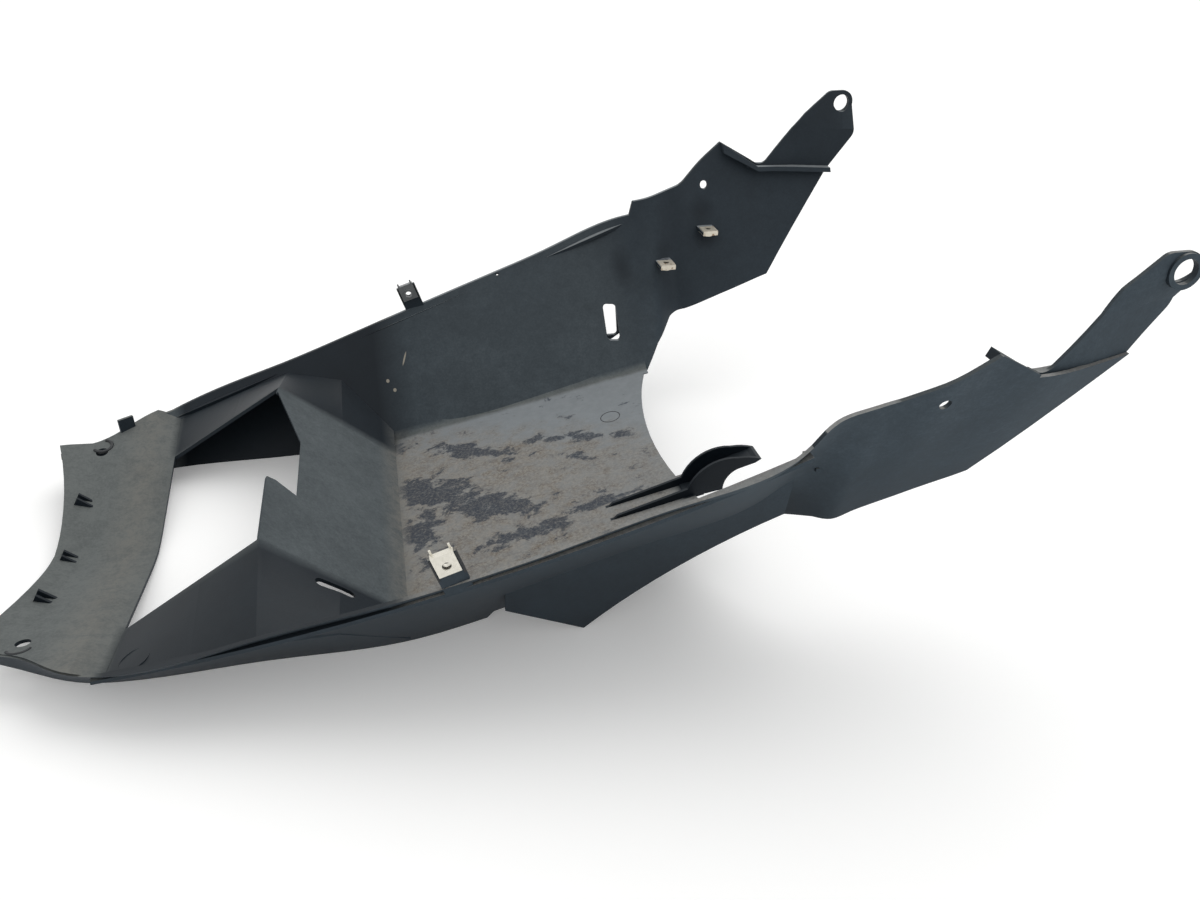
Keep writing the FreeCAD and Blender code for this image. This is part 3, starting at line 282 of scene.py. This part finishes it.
# Finishes
def moulded_polypropylene():
    """Black injection moulded polypropylene: satin where no dust lies, grey with road dust where it faces
    up, beige dirt on the floor, and ragged patches there that water has washed dark again.
    Painted shade darkens the shelves, the flanks and a patch on the far arm; painted reflection tints the
    dust blue on steep faces; painted light lightens the arms' outsides."""
    made, tree, shader, place = material("moulded_polypropylene")
    at = dirt_guides(tree, place)
    dust_free_and_shade = dust_free_and_shade_share(tree, at)
    dust = dust_share(tree, at, dust_free_and_shade)
    on_floor = add(tree, "ShaderNodeMapRange", {"Value": at.up, **span(0.9, 0.96)}).outputs["Result"]
    behind_crease = span(CREASE_X - SOFT_EDGE, CREASE_X + 0.006, 0.0, on_floor)
    on_floor = add(tree, "ShaderNodeMapRange", {"Value": at.x, **behind_crease}).outputs["Result"]
    filmed = add(tree, "ShaderNodeMapRange", {"Value": dust_free_and_shade, **span(1.0, 0.0, 0.0, on_floor)})
    scratched = add(tree, "ShaderNodeMapRange",
                    {"Value": blotches(tree, place, SCRATCHES), **span(0.0, 0.3, 0.0, 0.8)})

    # Earth is beige with brown in it, and paler where the grit lies
    brown = add(tree, "ShaderNodeMapRange", {"Value": at.ragged, **span(0.4, 0.56)}).outputs["Result"]
    speckled = add(tree, "ShaderNodeMapRange", {"Value": at.grit, **span(0.36, 0.64)}).outputs["Result"]
    earth = add(tree, "ShaderNodeMix", {"Factor": brown, "A": linear("7e7c78"), "B": linear("655849")},
                data_type="RGBA").outputs["Result"]
    earth = add(tree, "ShaderNodeMix", {"Factor": speckled, "A": earth, "B": linear("918e87")},
                data_type="RGBA").outputs["Result"]

    # Road dust is bluer on steep faces, where the blue is painted reflection, and a film of it on the floor
    # is mottled
    level = add(tree, "ShaderNodeMapRange", {"Value": at.up, **span(0.5, 0.9)}).outputs["Result"]
    road_dust_and_reflection = add(tree, "ShaderNodeMix", {"Factor": level, "A": linear("56626b"), "B": linear("686c6b")},
                    data_type="RGBA").outputs["Result"]
    film = add(tree, "ShaderNodeMix", {"Factor": at.mottle, "A": linear("74797c"), "B": linear("8e9396")},
               data_type="RGBA").outputs["Result"]

    # Coats from the plastic up to the last scratch
    colour = add(tree, "ShaderNodeMix", {"Factor": at.clouds, "A": linear("0d1319"), "B": linear("182129")},
                 data_type="RGBA").outputs["Result"]
    coats = (
        (dust, road_dust_and_reflection),
        (filmed.outputs["Result"], film),
        (dirt_share(tree, at, dust_free_and_shade, on_floor), earth),
        (gathered_share(tree, at, dust_free_and_shade), linear("7a766e")),
        (washed_share(tree, at, on_floor), linear("3c424b")),
        (scratched.outputs["Result"], linear("a9a294")),
    )
    for factor, coat in coats:
        colour = add(tree, "ShaderNodeMix", {"Factor": factor, "A": colour, "B": coat}, data_type="RGBA")
        colour = colour.outputs["Result"]
    tree.links.new(colour, shader.inputs["Base Color"])

    matt = add(tree, "ShaderNodeMapRange", {"Value": dust, **span(0.05, 0.5, 0.5, 0.9)})
    tree.links.new(matt.outputs["Result"], shader.inputs["Roughness"])
    shader.inputs["IOR"].default_value = POLYPROPYLENE_IOR
    shader.inputs["Specular IOR Level"].default_value = 0.2

    # Spark grain of the mould, drawn at 1.2 mm so that it shows
    pebble = add(tree, "ShaderNodeTexNoise", {"Vector": place, **grain(1.2, 2.0, 0.5)}).outputs["Fac"]
    bump = add(tree, "ShaderNodeBump", {"Height": pebble, "Strength": 0.12, "Distance": 0.4 * MM})
    tree.links.new(bump.outputs["Normal"], shader.inputs["Normal"])
    return made


def dust_free_and_shade_polypropylene():
    """The same plastic with no dust: black satin on small edges and rings, greyer in clouds; on the floor's
    witness ring the black is painted shade of its groove.
    """
    made, tree, shader, place = material("dust_free_and_shade_polypropylene")
    clouds = add(tree, "ShaderNodeTexNoise", {"Vector": place, **grain(9, 4.0, 0.6)}).outputs["Fac"]
    colour = add(tree, "ShaderNodeMix", {"Factor": clouds, "A": linear("101316"), "B": linear("24282c")},
                 data_type="RGBA")
    tree.links.new(colour.outputs["Result"], shader.inputs["Base Color"])
    rough = add(tree, "ShaderNodeMapRange", {"Value": clouds, **span(0.3, 0.7, 0.36, 0.6)})
    tree.links.new(rough.outputs["Result"], shader.inputs["Roughness"])
    shader.inputs["IOR"].default_value = POLYPROPYLENE_IOR
    return made


def zinc_plate(name, bright, dull, rust, rust_from):
    """Zinc plated spring steel: bright with dull clouds, and rust where the plating has gone."""
    made, tree, shader, place = material(name)
    clouds = add(tree, "ShaderNodeTexNoise", {"Vector": place, **grain(2.6, 5.0, 0.65)}).outputs["Fac"]
    spots = add(tree, "ShaderNodeTexNoise", {"Vector": place, **grain(4.2, 6.0, 0.75)}).outputs["Fac"]
    plate = add(tree, "ShaderNodeMix", {"Factor": clouds, "A": linear(bright), "B": linear(dull)},
                data_type="RGBA").outputs["Result"]
    rusted = add(tree, "ShaderNodeMapRange", {"Value": spots, **span(rust_from, rust_from + 0.08)})
    rusted = rusted.outputs["Result"]
    colour = add(tree, "ShaderNodeMix", {"Factor": rusted, "A": plate, "B": linear(rust)}, data_type="RGBA")
    tree.links.new(colour.outputs["Result"], shader.inputs["Base Color"])
    metal = add(tree, "ShaderNodeMapRange", {"Value": rusted, **span(0.0, 1.0, 0.75, 0.0)})
    tree.links.new(metal.outputs["Result"], shader.inputs["Metallic"])
    rough = add(tree, "ShaderNodeMapRange", {"Value": clouds, **span(0.3, 0.7, 0.34, 0.55)})
    tree.links.new(rough.outputs["Result"], shader.inputs["Roughness"])
    return made


def dress(thing, finish):
    thing.data.materials.clear()
    thing.data.materials.append(finish)


plastic = moulded_polypropylene()
dust_free_and_shade_plastic = dust_free_and_shade_polypropylene()
bright_zinc = zinc_plate("bright_zinc", "efece2", "d2cec2", "8a735a", 0.66)
dull_zinc = zinc_plate("dull_zinc", "9a9c9c", "74777a", "6a5644", 0.6)
rusty_zinc = zinc_plate("rusty_zinc", "e8e2d4", "c8bfae", "8a6a48", 0.56)
dress(shell, plastic)
dress(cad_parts["clip_nut_rail_near"], bright_zinc)
dress(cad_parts["clip_nut_rail_far"], dull_zinc)
dress(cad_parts["clip_nut_arm_front"], rusty_zinc)
dress(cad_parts["clip_nut_arm_rear"], rusty_zinc)


# Small pieces
FULL_TURN = 360
BEAD_SIDES = 10
RING_STEPS = 48
surface = BVHTree.FromPolygons([v.co.copy() for v in shell.data.vertices],
                               [tuple(p.vertices) for p in shell.data.polygons])


def piece(name, mesh, finish, smooth):
    """Finished object from a bmesh, riding on the part."""
    bmesh.ops.recalc_face_normals(mesh, faces=mesh.faces)
    data = bpy.data.meshes.new(name)
    mesh.to_mesh(data)
    mesh.free()
    for polygon in data.polygons:
        polygon.use_smooth = smooth
    thing = bpy.data.objects.new(name, data)
    bpy.context.scene.collection.objects.link(thing)
    thing.data.materials.append(finish)
    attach(thing, "root")


def ring(name, above, radius, wire, finish, angle=FULL_TURN, start=0):
    """Round bead lying on the moulding under a point, in millimetres: a full witness ring or a crescent."""
    mesh = bmesh.new()
    bmesh.ops.create_circle(mesh, segments=BEAD_SIDES, radius=wire * MM)
    bmesh.ops.rotate(mesh, verts=mesh.verts, matrix=Matrix.Rotation(math.pi / 2, 3, "X"))
    bmesh.ops.translate(mesh, verts=mesh.verts, vec=(radius * MM, 0, 0))
    bmesh.ops.rotate(mesh, verts=mesh.verts, matrix=Matrix.Rotation(math.radians(start), 3, "Z"))
    closed = angle == FULL_TURN
    bmesh.ops.spin(mesh, geom=mesh.edges[:], cent=(0, 0, 0), axis=(0, 0, 1), angle=math.radians(angle),
                   steps=RING_STEPS, use_merge=closed)
    if not closed:
        bmesh.ops.holes_fill(mesh, edges=[edge for edge in mesh.edges if edge.is_boundary], sides=0)
    middle = Vector(above) * MM
    beside, normal, _, _ = surface.ray_cast(middle + Vector((radius * MM, 0, 0)), Vector((0, 0, -1)))
    foot = middle - normal * (middle - beside).dot(normal)
    turn = normal.to_track_quat("Z", "Y").to_matrix().to_4x4()
    bmesh.ops.transform(mesh, matrix=Matrix.Translation(foot) @ turn, verts=mesh.verts)
    piece(name, mesh, finish, smooth=True)


def bar(name, middle, sizes, turn, round_off, finish):
    """Small rounded bar, turned about Y by degrees, in millimetres."""
    mesh = bmesh.new()
    bmesh.ops.create_cube(mesh, size=1)
    bmesh.ops.scale(mesh, verts=mesh.verts, vec=Vector(sizes) * MM)
    bmesh.ops.bevel(mesh, geom=mesh.edges[:], offset=round_off * MM, offset_type="OFFSET", affect="EDGES",
                    segments=2, profile=0.5, material=-1)
    bmesh.ops.rotate(mesh, verts=mesh.verts, matrix=Matrix.Rotation(math.radians(turn), 3, "Y"))
    bmesh.ops.translate(mesh, verts=mesh.verts, vec=Vector(middle) * MM)
    piece(name, mesh, finish, smooth=False)


# Witness rings of the ejector pins, and the crescent bosses beside the dish's screw holes
# Painted shade: the floor ring is black for the shade of its groove
ring("witness_ring_floor", (80, 61, 80), 7.8, 0.3, dust_free_and_shade_plastic)
ring("witness_ring_dish", (-248.5, -147.5, 60), 9.5, 0.35, plastic)
ring("boss_dish_far", (-309.4, 114, 60), 6.6, 1.3, dust_free_and_shade_plastic, angle=230, start=-150)
ring("boss_dish_near", (-309.4, -114, 60), 6.6, 0.9, dust_free_and_shade_plastic, angle=150, start=20)

# Prongs at the upper corners of the rail's clip nuts, and raised rims beside the clips on their tabs
CLIP_X = -59.3
CLIP_Z = 107.5
CLIP_TOP = 7.9
RAIL_TURN = -17.4
PRONG = (1.3, 0.8, 3.8)
PRONG_ROUND = 0.2
PRONG_OFF = 5.4
PRONG_ROOT = 0.6
PRONG_HALF = 195.9
RIM = (1.1, 3.4, 15.0)
RIM_ROUND = 0.3
RIM_OFF = 7.5
RIM_DROP = -1.0
TAB_HALF = 197.7


def on_tab(along, up, side_y):
    """Point on a clip tab that leans with the rail, in millimetres from its hole."""
    lean = math.radians(-RAIL_TURN)
    return (CLIP_X + along * math.cos(lean) - up * math.sin(lean), side_y,
            CLIP_Z + along * math.sin(lean) + up * math.cos(lean))


for side_name, side, clip_finish in (("near", -1, bright_zinc), ("far", 1, dull_zinc)):
    for end_name, end in (("front", -1), ("rear", 1)):
        prong_spot = on_tab(end * PRONG_OFF, CLIP_TOP + PRONG[2] / 2 - PRONG_ROOT, side * PRONG_HALF)
        bar(f"clip_prong_{side_name}_{end_name}", prong_spot, PRONG, RAIL_TURN, PRONG_ROUND, clip_finish)
        rim_spot = on_tab(end * RIM_OFF, RIM_DROP, side * TAB_HALF)
        bar(f"tab_rim_{side_name}_{end_name}", rim_spot, RIM, RAIL_TURN, RIM_ROUND, dust_free_and_shade_plastic)


# Stage, light and camera: paper in metres, eye and lens in millimetres, spread of the sun in degrees
PAPER_HALF = 6
PAPER_LIFT = 0.17
WORLD_LIGHT = 0.74
SUN_STRENGTH = 0.9
SUN_SPREAD = 50
SUN_TRAVEL = Vector((-0.7, -0.5, -1.4))
EYE = Vector((-70.3, -631, 428.5))
EYE_RIGHT = Vector((0.977, -0.2125, 0))
EYE_AHEAD = Vector((0.183, 0.842, -0.5076))
LENS = 30
SENSOR = 36


def seen_share(tree, unseen, seen):
    """One value for rays that light the object, another for what is seen directly or mirrored."""
    path = add(tree, "ShaderNodeLightPath")
    direct = path.outputs["Is Camera Ray"]
    for ray in ("Is Glossy Ray", "Is Transmission Ray"):
        direct = add(tree, "ShaderNodeMath", {0: direct, 1: path.outputs[ray]}, operation="MAXIMUM")
        direct = direct.outputs[0]
    share = add(tree, "ShaderNodeMapRange", {"Value": direct, **span(0.0, 1.0, unseen, seen)})
    return share.outputs["Result"]


def studio():
    """White paper floor and a white world, with one wide weak sun that lays the shadow forward."""
    paper, tree, sheet, _ = material("white_paper")
    sheet.inputs["Base Color"].default_value = linear("f9f9f8")
    sheet.inputs["Roughness"].default_value = 0.9
    sheet.inputs["Specular IOR Level"].default_value = 0.2
    sheet.inputs["Emission Color"].default_value = linear("ffffff")
    tree.links.new(seen_share(tree, 0.0, PAPER_LIFT), sheet.inputs["Emission Strength"])
    mesh = bmesh.new()
    bmesh.ops.create_grid(mesh, x_segments=1, y_segments=1, size=PAPER_HALF)
    data = bpy.data.meshes.new("floor")
    mesh.to_mesh(data)
    mesh.free()
    floor = bpy.data.objects.new("floor", data)
    bpy.context.scene.collection.objects.link(floor)
    data.materials.append(paper)

    world = bpy.data.worlds.new("studio")
    bpy.context.scene.world = world
    world.use_nodes = True
    tree = world.node_tree
    tree.nodes.clear()
    strength = seen_share(tree, WORLD_LIGHT, 1.0)
    back = add(tree, "ShaderNodeBackground", {"Color": linear("ffffff"), "Strength": strength})
    add(tree, "ShaderNodeOutputWorld", {"Surface": back.outputs["Background"]})

    lamp = bpy.data.lights.new("soft_sun", "SUN")
    lamp.energy = SUN_STRENGTH
    lamp.angle = math.radians(SUN_SPREAD)
    sun = bpy.data.objects.new("soft_sun", lamp)
    sun.rotation_euler = SUN_TRAVEL.to_track_quat("-Z", "Y").to_euler()
    bpy.context.scene.collection.objects.link(sun)


def camera():
    """Camera at the photograph's view."""
    data = bpy.data.cameras.new("camera")
    data.lens = LENS
    data.sensor_width = SENSOR
    view = bpy.data.objects.new("camera", data)
    right = EYE_RIGHT.normalized()
    ahead = EYE_AHEAD.normalized()
    turn = Matrix((right, right.cross(ahead), -ahead)).transposed().to_4x4()
    view.matrix_world = Matrix.Translation(EYE * MM) @ turn
    bpy.context.scene.collection.objects.link(view)
    bpy.context.scene.camera = view


studio()
camera()
bpy.context.scene.view_settings.view_transform = "Standard"
